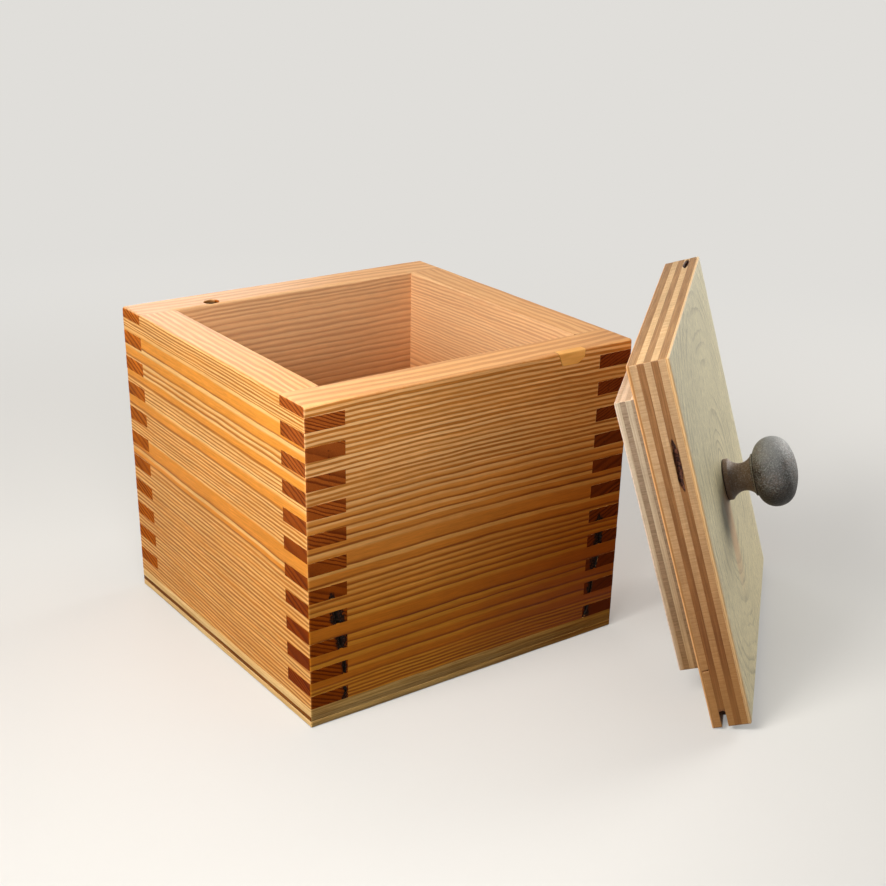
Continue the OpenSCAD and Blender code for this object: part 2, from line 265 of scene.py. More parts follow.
class Mat:
    """One node material. Its points are the object's own, in mm."""

    def __init__(self, name):
        self.material = bpy.data.materials.new(name)
        self.material.use_nodes = True
        self.tree = self.material.node_tree
        self.tree.nodes.clear()
        self.shader = self.node("ShaderNodeBsdfPrincipled")
        self.tree.links.new(self.shader.outputs[0], self.node("ShaderNodeOutputMaterial").inputs[0])
        places = self.node("ShaderNodeTexCoord").outputs
        in_mm = self.node("ShaderNodeVectorMath", operation="SCALE")
        in_mm.inputs["Scale"].default_value = 1000.0
        self.point = self.fill(in_mm, (Value(self, places["Object"]),))
        self.x, self.y, self.z = self.split(self.point)
        self.nx, self.ny, self.nz = self.split(Value(self, places["Normal"]))

    def node(self, kind, **settings):
        node = self.tree.nodes.new(kind)
        for key, value in settings.items():
            setattr(node, key, value)
        return node

    def put(self, socket, value):
        """Links a value to a socket, or sets a constant on it."""
        if isinstance(value, Value):
            self.tree.links.new(value.socket, socket)
        else:
            socket.default_value = value

    def fill(self, node, values):
        """Fills a node's first sockets and gives what comes out of it."""
        for socket, value in zip(node.inputs, values):
            self.put(socket, value)
        return Value(self, node.outputs[0])

    def split(self, vector):
        node = self.node("ShaderNodeSeparateXYZ")
        self.put(node.inputs[0], vector)
        return [Value(self, socket) for socket in node.outputs]

    def vec(self, x, y, z):
        return self.fill(self.node("ShaderNodeCombineXYZ"), (x, y, z))

    def length(self, vector):
        node = self.node("ShaderNodeVectorMath", operation="LENGTH")
        self.put(node.inputs[0], vector)
        return Value(self, node.outputs["Value"])

    def math(self, operation, a, b=0.0, clamp=False):
        return self.fill(self.node("ShaderNodeMath", operation=operation, use_clamp=clamp), (a, b))

    def mix(self, share, a, b, mode="MIX"):
        """The colour that lies the given share of the way from a to b, or to a times b."""
        node = self.node("ShaderNodeMix", data_type="RGBA", blend_type=mode)
        for i, value in ((0, share), (6, a), (7, b)):
            self.put(node.inputs[i], value)
        return Value(self, node.outputs[2])

    def noise(self, fine, detail, rough, seed=0.0, at=None):
        """Noise, at the material's own point or another. fine: how fine, per mm, or (fine x, y and z)."""
        at = at or self.point
        if isinstance(fine, tuple):
            stretch = self.node("ShaderNodeVectorMath", operation="MULTIPLY_ADD")
            at = self.fill(stretch, (at, fine, (0.0, 0.0, seed)))
            fine = 1.0
        node = self.node("ShaderNodeTexNoise")
        for key, value in (("Vector", at), ("Scale", fine), ("Detail", detail), ("Roughness", rough)):
            self.put(node.inputs[key], value)
        return Value(self, node.outputs[0])

    def random(self, value):
        """A number between 0 and 1 that is the value's own."""
        node = self.node("ShaderNodeTexWhiteNoise", noise_dimensions="1D")
        self.put(node.inputs["W"], value)
        return Value(self, node.outputs["Value"])

    def ramp(self, value, stops):
        """Colours along a value: (where, colour)."""
        node = self.node("ShaderNodeValToRGB")
        elements = node.color_ramp.elements
        while len(elements) < len(stops):
            elements.new(0.5)
        for element, (position, colour) in zip(elements, stops):
            element.position, element.color = position, colour
        node.color_ramp.interpolation = "EASE"
        return self.fill(node, (value,))

    def curve(self, value, points):
        """A piecewise straight curve: points (x, y), x rising, y never below 0."""
        start, end = points[0][0], points[-1][0]
        highest = max(y for _, y in points)
        node = self.node("ShaderNodeFloatCurve")
        curve = node.mapping.curves[0]
        while len(curve.points) < len(points):
            curve.points.new(0.5, 0.5)
        for point, (x, y) in zip(curve.points, points):
            point.location = ((x - start) / (end - start), y / highest)
            point.handle_type = "VECTOR"
        node.mapping.update()
        self.put(node.inputs["Value"], self.math("DIVIDE", value - start, end - start, clamp=True))
        return Value(self, node.outputs[0]) * highest

    def attr(self, name):
        return Value(self, self.node("ShaderNodeAttribute", attribute_name=name).outputs["Fac"])

    def coat(self, colour, *coats):
        """Lays tones over a colour, one after the other. Each coat is (share, tone)."""
        for share, tone in coats:
            colour = self.mix(share, colour, tone)
        return colour

    def vary(self, colour, *factors):
        """Multiplies a colour by factors that go from low to high with a noise: (noise, low, high)."""
        for by, low, high in factors:
            node = self.node("ShaderNodeVectorMath", operation="SCALE")
            self.put(node.inputs[0], colour if isinstance(colour, Value) else colour[:3])
            self.put(node.inputs["Scale"], by.step(0.2, 0.8, low, high))
            colour = Value(self, node.outputs[0])
        return colour

    def finish(self, colour, rough, height, distance, strength, specular=0.5):
        """Sets the shader and gives the material. distance: how far the bumps stand out, in mm."""
        bump = self.node("ShaderNodeBump")
        bump.inputs["Strength"].default_value = strength
        bump.inputs["Distance"].default_value = distance / 1000
        self.put(bump.inputs["Height"], height)
        settings = {"Base Color": colour, "Roughness": rough, "Specular IOR Level": specular,
                    "Normal": Value(self, bump.outputs[0])}
        for key, value in settings.items():
            self.put(self.shader.inputs[key], value)
        return self.material


# ---------------- oiled softwood
INSIDE, INSIDE_SHARE = rgb(222, 184, 146), 0.46
INSIDE_LOW_SHADE = (0.66, 0.47, 0.31, 1.0)  # painted shade: how the inside darkens towards its bottom
RIM_TONE = rgb(229, 170, 112)
END_LIGHT, END_DARK = rgb(180, 94, 35), rgb(98, 38, 10)
END_LOW = (0.8, 0.68, 0.15, 1.0)  # how end grain darkens low down
# how oil and painted shade darken a board low down, and painted shade towards its far end
OIL_AND_SHADE_LOW, PAINTED_SHADE_FAR = (0.74, 0.54, 0.12, 1.0), (0.55, 0.36, 0.06, 1.0)

# growth rings met going down a board's outer face from the rim: (depth in mm, rings so far)
RINGS_LEFT = [(-14, 0), (0, 10), (10.5, 17.3), (12, 17.5), (16.8, 17.84), (18, 18.25), (23.6, 18.84),
              (25, 19.3), (27.6, 20.3), (30.4, 21.3), (31.2, 21.5), (35, 21.86), (36.2, 22.3), (43.4, 26.35),
              (49, 26.86), (50.2, 27.3), (61, 33.4), (64.2, 35.35), (65.2, 35.5), (72.4, 35.86), (73.8, 36.3),
              (77, 36.85), (78.6, 37.35), (87, 41.4), (112, 53), (138, 66), (152, 74)]
RINGS_FRONT = [(-14, 0), (0, 6.2), (20, 15), (43, 25.2), (50, 27.3), (58, 29.4), (66, 31.3), (67.5, 31.45),
               (73.3, 31.86), (75, 32.3), (79.5, 32.87), (81, 33.3), (90, 36.4), (99, 39.3), (100.5, 39.45),
               (106.5, 39.86), (108.5, 40.3), (112, 41.3), (116.5, 41.86), (118, 42.3), (123, 42.86),
               (124.5, 43.3), (129, 43.9), (138, 49), (152, 57)]
RINGS_BACK = [(-14, 0), (0, 7), (30, 17), (60, 26), (68, 27.4), (76, 29), (110, 44), (152, 60)]
RINGS_RIGHT = [(-14, 0), (0, 8), (34, 30), (44, 33), (56, 35.4), (70, 39), (95, 50), (120, 57), (152, 78)]

# bark soaked into the end grain: (height, distance of its middle from the shoulder, half its width)
LEFT_BARK = [(5, 1.6, 1.6), (15, 1.6, 1.8), (27, 1.9, 2.0), (39, 3.4, 3.4), (50, 4.6, 4.4), (54, 5.4, 3.6),
             (60.3, 7.6, 2.6), (64.5, 7.8, 0.0), (150, 8.0, 0.0)]
RIGHT_BARK = [(5, 2.6, 2.3), (15, 2.8, 2.4), (27, 3.8, 2.3), (39, 5.4, 3.0), (50, 7.2, 3.7), (54, 7.2, 3.2),
              (60.3, 6.6, 3.0), (65, 6.6, 0.0), (150, 6.6, 0.0)]


def board(name, along, inward, rings, slant, tones, seed, wander, drift=0.0, fan=0.0, bow=0.0,
          oil_and_shade=(0.0, 0.0), ends_tones=(END_LIGHT, END_DARK), stain=None):
    """Solid softwood with flat sheets of growth rings, oiled.

    along: "x" or "y", the grain's direction. inward(mat): distance in from the outer face, in mm.
    rings: how the rings follow each other down the outer face. slant: how far the rings sink per mm inward.
    tones: the light, middle and dark colours across one ring. wander: how much the lines wave, in mm.
    drift: how far the lines sink per mm along the grain, and fan: how much more per mm lower down.
    bow: how far they rise halfway along.
    oil_and_shade: how much oil and painted shade darken it low down, and painted shade towards its far end.
    stain(mat): dark bark in it."""
    light, middle, dark = tones
    mat = Mat(name)
    run, across, facing = (mat.x, mat.y, mat.nx) if along == "x" else (mat.y, mat.x, mat.ny)
    at = mat.vec(run, across, mat.z)
    depth = TOP - mat.z
    inward = inward(mat)
    from_middle = run / X1
    down = depth - inward * slant - run * (depth * fan + drift) + (1.0 - from_middle * from_middle) * bow
    slow = mat.noise((0.014, 0.03, 0.03), 2, 0.45, seed, at=at)
    quick = mat.noise((0.045, 0.2, 0.2), 2, 0.5, seed, at=at)
    down = down + (slow - 0.5) * wander + (quick - 0.5) * (wander * 0.5)
    uneven = mat.noise(1.0, 2, 0.6, at=mat.vec(down * 0.33, seed, 0.0))
    down = down + (uneven - 0.5) * 1.8
    count = mat.curve(down, rings)
    rings_per_mm = mat.curve(down + 1.0, rings) - count
    across_ring = count.fract()
    own = mat.random(count.floor() + seed)
    # a wide ring is mostly its middle tone; where rings crowd, light and dark share the width
    wide = mat.ramp(across_ring, [(0.0, dark), (0.04, dark), (0.14, light), (0.35, light), (0.5, middle),
                                  (0.78, middle), (0.93, dark)])
    late = blend(middle, dark, 0.6)
    early = blend(light, middle, 0.08)
    crowded = mat.ramp(across_ring, [(0.0, late), (0.08, late), (0.3, early), (0.55, early), (0.8, late)])
    face = mat.mix(rings_per_mm.step(0.2, 0.45), wide, crowded)
    fading = mat.noise((0.02, 0.3, 0.3), 2, 0.5, seed, at=at)
    face = mat.mix(own * 0.2 + fading.step(0.4, 0.65, 0.0, 0.3), face, middle)
    # fibres: long thin streaks and short darker dashes
    fibre = mat.noise((0.03, 1.3, 1.3), 4, 0.66, at=at)
    dash = mat.noise((0.16, 1.2, 1.2), 4, 0.7, at=at)
    cloud = mat.noise((0.02, 0.05, 0.045), 3, 0.55, seed, at=at)
    face = mat.vary(face, (fibre, 0.87, 1.12), (dash, 0.88, 1.1), (cloud, 0.92, 1.07))
    # the unoiled inside is paler and duller, and the rim is a little rubbed
    inside = mat.mix(INSIDE_SHARE, face, INSIDE)
    # painted shade, darker towards the inside's bottom
    inside = mat.mix(depth.step(8, 70), inside, INSIDE_LOW_SHADE, "MULTIPLY")
    rim = mat.nz.step(0.5, 0.9) * mat.z.step(TOP - 2, TOP - 0.4)
    face = mat.coat(face, (inward.step(WALL - 0.9, WALL - 0.25), inside), (rim * 0.52, RIM_TONE))
    # end grain: the same rings cut across, darker, with pores, and darker still low down
    pore = mat.noise(2.6, 2, 0.6)
    end_light, end_dark = ends_tones
    cut = mat.ramp(across_ring, [(0.0, end_dark), (0.14, end_light), (0.5, end_light), (0.88, end_dark)])
    even = own * 0.4 + rings_per_mm.step(0.2, 0.45, 0.5, 0.1)
    cut = mat.mix(even, cut, blend(end_light, end_dark, 0.5))
    cut = mat.vary(cut, (pore, 0.82, 1.16), (cloud, 0.84, 1.12))
    cut = mat.mix(depth.step(20, 120), cut, END_LOW, "MULTIPLY")
    on_end = abs(facing).step(0.62, 0.78)
    colour = mat.mix(on_end, face, cut)
    worn = mat.attr("wear") * mat.noise(0.35, 3, 0.6).step(0.3, 0.6, 0.25, 1.0)
    colour = mat.mix(worn * 0.26, colour, mat.mix(on_end, rgb(255, 220, 168), rgb(208, 136, 84)))
    low = depth.step(15, 115)
    far = run.step(-45, 80) * (low * 0.5 + 0.5) * depth.step(-2, 20, 0.3, 1.0)
    # painted shade low down, partly oil, and painted shade towards the far end
    colour = mat.mix(low * oil_and_shade[0], colour, OIL_AND_SHADE_LOW, "MULTIPLY")
    colour = mat.mix(far * oil_and_shade[1], colour, PAINTED_SHADE_FAR, "MULTIPLY")
    if stain is not None:
        soaked = stain(mat)
        bark = mat.mix(mat.noise(0.9, 3, 0.6).step(0.42, 0.66), rgb(16, 7, 4), rgb(58, 30, 14))
        ash = soaked.step(0.4, 0.8) * mat.noise(1.6, 2, 0.5).step(0.56, 0.68)
        colour = mat.coat(colour, (soaked.step(0.0, 0.35, 0.0, 0.7), rgb(84, 36, 12)),
                          (soaked.step(0.2, 0.55), bark), (ash * 0.18, rgb(112, 112, 116)))
    hollow = mat.attr("bark")
    lining = mat.mix(mat.noise(0.7, 3, 0.6).step(0.5, 0.72), rgb(16, 9, 5), rgb(60, 46, 38))
    colour = mat.mix(hollow, colour, lining)
    rough = fibre.step(0.2, 0.8, 0.5, 0.38) + on_end * 0.16 + worn * 0.12
    height = across_ring.step(0.3, 0.9) * 0.35 + fibre * 0.6 + pore * on_end * 0.8
    height = height + mat.noise(1.4, 3, 0.6) * hollow * 4.0
    return mat.finish(colour, rough, height, 0.16, 0.5, specular=on_end.step(0.0, 1.0, 0.15, 0.05))


def bark_stain(side, spots):
    """Bark in the end grain beside the shoulder at a board's front end. side: -1 left, +1 right."""
    middle = [(height, off) for height, off, _ in spots]
    width = [(height, half) for height, _, half in spots]

    def mask(mat):
        off = abs(mat.x * side - (X1 - WALL) - mat.curve(mat.z, middle))
        ragged = (mat.noise((0.55, 0.0, 0.45), 4, 0.7) - 0.5) * 7.0
        inside = mat.math("DIVIDE", mat.curve(mat.z, width) - (off + ragged), 2.2, clamp=True)
        return inside * mat.y.step(Y0 + 4.0, Y0 + 2.5)
    return mask


def patch_material():
    mat = Mat("Repair wood")
    fibre = mat.noise((0.12, 1.5, 1.5), 4, 0.6)
    slow = mat.noise((0.05, 0.3, 0.3), 2, 0.5)
    colour = mat.mix(slow.step(0.3, 0.7), rgb(232, 164, 80), rgb(246, 184, 100))
    from_left = mat.x - PATCH_X - mat.curve(TOP - mat.z, PATCH_LEFT)
    glue_line = from_left.step(0.55, 0.1, 0.0, 0.55)
    colour = mat.coat(mat.vary(colour, (fibre, 0.93, 1.07)), (glue_line, rgb(132, 76, 26)),
                      (mat.attr("wear") * 0.2, rgb(255, 214, 150)))
    return mat.finish(colour, fibre.step(0.2, 0.8, 0.5, 0.4), fibre, 0.08, 0.5, specular=0.2)


# ---------------- plywood
PLY_PALE, PLY_TAN = (rgb(196, 161, 121), rgb(176, 138, 97)), (rgb(152, 107, 65), rgb(124, 82, 44))
TOP_BROWN, TOP_CREAM = (rgb(184, 137, 84), rgb(152, 107, 62)), (rgb(238, 200, 148), rgb(212, 166, 112))
SHEET_EDGE = rgb(250, 226, 206)
SHEET_PALE, SHEET_DULL = (rgb(198, 184, 160), rgb(172, 154, 130)), (rgb(158, 138, 116), rgb(130, 110, 88))
SHEET_TOP_PALE = (rgb(236, 206, 174), rgb(208, 176, 144))
SHEET_TOP_DULL = (rgb(214, 180, 146), rgb(186, 152, 120))
BASE_PALE = ((rgb(250, 210, 146), rgb(222, 172, 104)), (rgb(222, 180, 108), rgb(164, 120, 62)))
BASE_DARK = ((rgb(148, 82, 8), rgb(98, 50, 3)), (rgb(196, 160, 100), rgb(150, 112, 62)))


def ply_edge(name, x_look, y_look, seed, arris=None):
    """The cut edge of one ply of the lid. Each look is (light, dark, kind), for edges facing along X and Y.

    kind: "hatched" has fine lines across the ply's thickness, "streaked" has lines along it."""
    mat = Mat(name)
    cross = mat.noise((1.35, 1.35, 0.14), 3, 0.6, seed)
    streak = mat.noise((0.035, 0.035, 1.9), 3, 0.6, seed)
    cloud = mat.noise((0.05, 0.05, 0.25), 3, 0.6, seed)

    def look(light, dark, kind):
        main, faint = (cross, streak) if kind == "hatched" else (streak, cross)
        return mat.vary(mat.mix(main.step(0.3, 0.7), dark, light), (faint, 0.93, 1.07))
    colour = mat.mix(abs(mat.ny).step(0.5, 0.8), look(*x_look), look(*y_look))
    colour = mat.vary(colour, (cloud, 0.86, 1.12))
    # warmer, darker and more even towards the lower edge, where it stands
    colour = mat.mix(mat.y.step(150.0, 10.0), colour, rgb(230, 204, 170), "MULTIPLY")
    colour = mat.mix(mat.y.step(45.0, 5.0) * 0.35, colour, rgb(164, 116, 62))
    if arris is not None:
        rubbed = mat.noise(0.5, 2, 0.6).step(0.25, 0.6, 0.5, 1.0)
        colour = mat.mix(mat.attr("wear") * rubbed, colour, arris)
    hollow = mat.attr("bark")
    lining = mat.mix(mat.noise(0.8, 3, 0.6).step(0.42, 0.64), rgb(38, 18, 12), rgb(112, 66, 48))
    colour = mat.mix(hollow, colour, lining)
    height = cross * 0.5 + streak * 0.5 + mat.noise(1.2, 3, 0.6) * hollow * 5.0
    return mat.finish(colour, streak.step(0.2, 0.8, 0.62, 0.5), height, 0.14, 0.6, specular=0.35)


def base_material(name, tones, seed):
    """A ply of the base. tones: two (light, dark), for edges that face along X and along Y."""
    mat = Mat(name)
    along = mat.noise((0.02, 0.02, 1.1), 4, 0.6, seed, at=mat.vec(mat.x + mat.y, mat.x - mat.y, mat.z))
    quick = mat.noise((0.5, 0.5, 2.4), 3, 0.6, seed)
    cloud = mat.noise((0.018, 0.018, 0.1), 3, 0.5, seed)
    flat = mat.noise((0.02, 0.55, 0.0), 4, 0.6, seed)
    level = abs(mat.nz).step(0.6, 0.9)
    pick = (level * flat + (1.0 - level) * along).step(0.3, 0.7)
    on_y = abs(mat.ny).step(0.5, 0.8)
    x_look, y_look = (mat.mix(pick, dark, light) for light, dark in tones)
    colour = mat.mix(on_y, x_look, y_look)
    colour = mat.vary(colour, (quick, 0.92, 1.08), (cloud, 0.9, 1.1))
    glue_line = abs(mat.z - (BASE_HEIGHTS[2] + 0.15)).step(0.3, 0.1)
    colour = mat.coat(colour, (glue_line * 0.45, rgb(120, 76, 34)),
                      (mat.attr("wear") * 0.6, rgb(250, 220, 160)))
    # painted shade towards the right end of the front
    colour = mat.mix(mat.x.step(-30.0, 90.0, 0.0, 0.9) * on_y, colour, PAINTED_SHADE_FAR, "MULTIPLY")
    height = along * 0.6 + quick * 0.5
    return mat.finish(colour, pick.step(0.0, 1.0, 0.6, 0.48), height, 0.14, 0.55, specular=0.12)


def veneer(name, top, low, line, arris, centre, seed, oval, shown, knob_side):
    """A face veneer with faint oval figure and short fine pores along Y.

    top, low: its colours high up and low down. line: the figure's colour. centre, oval: where the ovals lie
    and how long they are. shown: strength of the figure."""
    mat = Mat(name)
    warp = mat.noise((0.022, 0.018, 0.0), 2, 0.45, seed)
    ripple = mat.noise((0.16, 0.1, 0.0), 2, 0.5, seed + 4.0)
    reach = mat.length(mat.vec(mat.x - centre[0], (mat.y - centre[1]) / oval, 0.0))
    reach = reach + (warp - 0.5) * 16.0 + (ripple - 0.5) * 1.8
    uneven = mat.noise(1.0, 2, 0.5, at=mat.vec(reach * 0.07, seed, 0.0))
    across_ring = (reach / 6.5 + uneven * 2.6).fract()
    ring = across_ring.step(0.5, 0.9) * across_ring.step(1.0, 0.93)
    pore = mat.noise((2.0, 0.4, 0.0), 4, 0.7, seed)
    fleckle = mat.noise((0.5, 0.12, 0.0), 4, 0.7, seed)
    cloud = mat.noise((0.02, 0.02, 0.0), 3, 0.55, seed)
    patchy = mat.noise((0.035, 0.035, 0.0), 2, 0.5, seed + 9.0)
    mottle = mat.noise((0.42, 0.3, 0.0), 3, 0.7, seed + 2.0)
    colour = mat.mix(mat.y.step(130.0, 15.0), top, low)
    colour = mat.mix(ring * patchy.step(0.4, 0.62, 0.1 * shown, shown), colour, line)
    colour = mat.vary(colour, (pore, 0.74, 1.2), (fleckle, 0.79, 1.17), (mottle, 0.88, 1.09),
                      (cloud, 0.92, 1.08))
    worn = mat.attr("wear").step(0.15, 0.5) * mat.noise(0.45, 3, 0.6).step(0.28, 0.55, 0.6, 1.0)
    colour = mat.coat(colour, (abs(mat.nz).step(0.45, 0.12), rgb(168, 118, 68)), (worn, arris))
    if knob_side:
        # a warm painted shadow below the knob, rubbed warm along the near edge and pale along the far one, a
        # few pale flecks
        # below: where the knob's shadow falls, a warm painted shadow
        below = abs(mat.x - (KNOB_X - 13.0)).step(15.0, 5.0) * mat.y.step(25.0, 58.0) * mat.y.step(86.0, 76.0)
        close = mat.x.step(6.0, 1.0) * mat.noise((0.4, 0.1, 0.0), 3, 0.6, seed).step(0.3, 0.6, 0.4, 1.0)
        far = mat.x.step(WIDTH - 7.0, WIDTH - 1.0) * mat.noise((0.4, 0.12, 0.0), 3, 0.6, seed).step(0.35, 0.6)
        cells = mat.node("ShaderNodeTexVoronoi")
        cells.inputs["Scale"].default_value = 1.0
        mat.put(cells.inputs["Vector"], mat.vec(mat.x * 0.055, mat.y * 0.02, seed))
        fleck = Value(mat, cells.outputs["Distance"]).step(0.03, 0.012)
        colour = mat.coat(colour, (below * 0.62, rgb(214, 160, 106)), (close * 0.5, rgb(232, 188, 132)),
                          (far * 0.6, rgb(246, 236, 210)), (fleck * 0.8, rgb(245, 238, 215)))
    height = pore * 0.6 + fleckle * 0.3 + ring * 0.2
    return mat.finish(colour, pore.step(0.2, 0.8, 0.62, 0.48), height, 0.1, 0.5, specular=0.3)


# ---------------- knob and screw
def knob_material():
    mat = Mat("Weathered turned wood")
    x, y, z = mat.x - KNOB_X, mat.y - KNOB_Y, mat.z - PLATE
    at = mat.vec(x, y, z)
    big = mat.noise(0.11, 3, 0.6, at=at)
    warm = mat.noise(0.1, 3, 0.6, at=at)
    spot = mat.noise(0.62, 4, 0.8, at=at)
    speck = mat.noise(1.4, 3, 0.75, at=at)
    grain = mat.noise((1.6, 0.35, 1.6), 4, 0.65, at=at)
    turned = mat.noise((0.12, 0.12, 1.5), 3, 0.6, at=at)
    colour = mat.mix(big.step(0.36, 0.62), rgb(96, 84, 74), rgb(128, 126, 122))
    colour = mat.coat(colour, (warm.step(0.42, 0.6) * 0.7, rgb(128, 94, 68)),
                      (spot.step(0.47, 0.58) * 0.85, rgb(44, 34, 28)),
                      (speck.step(0.52, 0.6) * 0.8, rgb(184, 184, 180)))
    colour = mat.vary(colour, (grain, 0.8, 1.18), (turned, 0.85, 1.14))
    # silvered on the head's face (weathering with a painted highlight), a painted highlight on top, painted
    # shade on the side that faces down, warm at the neck
    colour = mat.coat(
        colour,
        (z.step(21.0, 31.0, 0.0, 0.44), mat.vary(rgb(140, 143, 141), (speck, 0.5, 1.4))),
        (y.step(5.0, 15.0) * 0.45, mat.vary(rgb(200, 200, 196), (speck, 0.7, 1.2))),
        (y.step(2.0, -10.0) * 0.92, mat.vary(rgb(26, 22, 19), (spot, 0.7, 1.3))),
        (z.step(13.5, 12.0, 0.0, 0.6), mat.vary(rgb(164, 136, 110), (turned, 0.75, 1.2))))
    # a painted highlight on the head's rim, pale on the collar and the foot's edge, painted shade in the
    # groove and at the foot
    radius = mat.length(mat.vec(x, y, 0.0))
    rim = radius.step(13.5, 16.4) * z.step(15.0, 20.0) * y.step(-8.0, 6.0)
    collar = radius.step(9.7, 9.95) * z.step(13.2, 13.5) * z.step(14.0, 13.8)
    groove_shade = z.step(14.35, 14.1) * z.step(13.75, 13.95)
    rubbed = radius.step(9.4, 9.75) * z.step(3.0, 2.2)
    foot = z.step(0.9, 0.1)
    colour = mat.coat(colour, (rim * 0.3, rgb(190, 194, 198)), (collar * 0.55, rgb(176, 166, 140)),
                      (groove_shade * 0.85, rgb(36, 28, 24)), (rubbed * 0.3, rgb(170, 136, 116)),
                      (foot * 0.85, rgb(34, 26, 20)))
    height = grain * 0.8 + spot * 0.8 + speck * 0.5
    return mat.finish(colour, speck.step(0.3, 0.7, 0.62, 0.46), height, 0.3, 0.8, specular=0.34)


def steel_material():
    mat = Mat("Screw steel")
    scratches = mat.noise((0.8, 0.8, 6.0), 3, 0.6)
    colour = mat.mix(scratches.step(0.3, 0.7), rgb(150, 146, 138), rgb(196, 192, 184))
    mat.shader.inputs["Metallic"].default_value = 1.0
    return mat.finish(colour, scratches.step(0.2, 0.8, 0.3, 0.5), scratches, 0.05, 0.4)


# ---------------- the finger-jointed box
def wall(name, along_x, outer, even):
    """One board of the box, with its fingers. outer: -1 or +1, the side its outer face is on.
    even: whether its fingers are on the even rows."""
    run_axis, in_axis = (0, 1) if along_x else (1, 0)
    half, out_to = (X1, Y1) if along_x else (Y1, X1)
    face = outer * out_to
    back = face - outer * WALL
    shoulder = half - WALL
    runs = lines(near(-half, 1) + near(half, -1) + [-shoulder, shoulder], 2.6)
    ins = lines(near(face, -outer) + near(back, outer, 1.0), 5.0)
    heights = [BASE, TOP] + near(TOP, -1)
    for row in range(ROWS - 1):
        heights += [row_bottom(row) + GLUE_GAP / 2, row_bottom(row) - GLUE_GAP / 2]
    marks = (runs, ins, lines(heights, 7.0)) if along_x else (ins, runs, lines(heights, 7.0))
    middles = [(each[:-1] + each[1:]) / 2 for each in marks]
    run = middles[0][:, None, None] if along_x else middles[1][None, :, None]
    finger = np.zeros(len(middles[2]), bool)
    for row in range(0 if even else 1, ROWS, 2):
        high = TOP if row == 0 else row_bottom(row) + ROW - GLUE_GAP / 2
        low = BASE if row == ROWS - 1 else row_bottom(row) + GLUE_GAP / 2
        finger |= (middles[2] > low) & (middles[2] < high)
    full = (np.abs(run) < shoulder) | finger[None, None, :]
    points, faces = grid(*marks, np.broadcast_to(full, [len(each) for each in middles]))
    # rounded, unevenly worn arrises
    wear = 0.75 + 0.28 * wobble(points, 14.0, seed=face / 37) + 0.12 * wobble(points, 4.0, seed=face / 11)
    wear += 0.4 * np.clip(1 - (TOP - points[:, 2]) / 3, 0, 1)
    outside = [(0, X0, 1), (0, X1, -1), (1, Y0, 1), (1, Y1, -1), (2, TOP, -1)]
    shaped = soften(points, outside, np.clip(wear, 0.45, 1.45))
    inner = soften(points, [(in_axis, back, outer), (2, TOP, -1)], np.clip(wear * 0.7, 0.3, 0.9))
    near_inner = (points[:, in_axis] - back) * outer < 1.0 + ON
    near_inner &= np.abs(points[:, run_axis]) <= shoulder + ON
    shaped[near_inner] = inner[near_inner]
    # the finished faces are not dead flat
    flat = np.abs(points[:, in_axis] - face) < ON
    shaped[flat, in_axis] -= outer * (0.035 + 0.035 * wobble(points[flat], 22.0, seed=3.1))
    return mesh_object(name, shaped, faces)


def edge_wear(ob):
    """Marks how close each vertex is to a handled edge, 1 at the edge."""
    points = vertices(ob)
    from_x, from_y, from_top = X1 - np.abs(points[:, 0]), Y1 - np.abs(points[:, 1]), TOP - points[:, 2]
    corner = np.maximum(from_x, from_y)
    rim = np.maximum(np.minimum(from_x, from_y), from_top)
    inside = (from_x > WALL - 1.5) & (from_y > WALL - 1.5)
    lip = np.maximum(np.minimum(np.abs(from_x - WALL), np.abs(from_y - WALL)), from_top)
    lip = np.where(inside, lip, 9.0)
    closest = np.minimum(np.minimum(corner, rim), lip * 1.2)
    return np.clip(1 - closest / 1.25, 0, 1)


front = wall("front_board", True, -1, True)
back = wall("back_board", True, 1, True)
left = wall("left_board", False, -1, False)
right = wall("right_board", False, 1, False)

# bark pockets in the end grain of the side boards' fingers: (x, height, how wide and how deep the bark is)
LEFT_POCKET = [(-66.2, 8, 1.0, 0.9), (-68.6, 13, 1.7, 1.3), (-69.3, 20, 1.8, 1.4), (-69.4, 27, 2.1, 1.5),
               (-70.4, 33, 2.6, 1.5), (-71.0, 39, 2.9, 1.6), (-71.8, 46, 3.2, 1.6), (-73.0, 51, 2.9, 1.4),
               (-74.8, 57, 1.7, 1.0), (-75.4, 61.5, 0.9, 0.8), (-75.6, 63.5, 0.3, 0.3)]
RIGHT_POCKET = [(67.2, 8, 1.6, 1.0), (69.6, 13.5, 2.3, 1.5), (71.2, 20, 2.0, 1.4), (72.0, 27, 2.0, 1.5),
                (72.9, 33, 2.3, 1.6), (74.3, 39, 2.4, 1.6), (75.2, 46, 2.7, 1.6), (75.0, 51, 2.6, 1.5),
                (73.8, 57, 2.2, 1.2), (73.3, 61, 1.4, 0.9), (73.2, 63.5, 0.4, 0.3)]
HOLLOW_WIDTH, HOLLOW_DEPTH = 0.34, 0.6  # how much of the bark has fallen out


def pocket_cutter(path):
    """A lumpy bar that follows the bark through the end grain."""
    rings = []
    for i, (x, height, width, depth) in enumerate(path):
        ring = []
        for c, s in circle(14):
            size = 1 + 0.28 * lumpy(c * 1.3 + 1.0, s * 1.3, i * 0.9)
            y = Y0 - 0.2 + HOLLOW_DEPTH * depth * size * s
            ring.append((x + HOLLOW_WIDTH * width * size * c, y, height))
        rings.append(ring)
    return lump("pocket_cutter", rings)


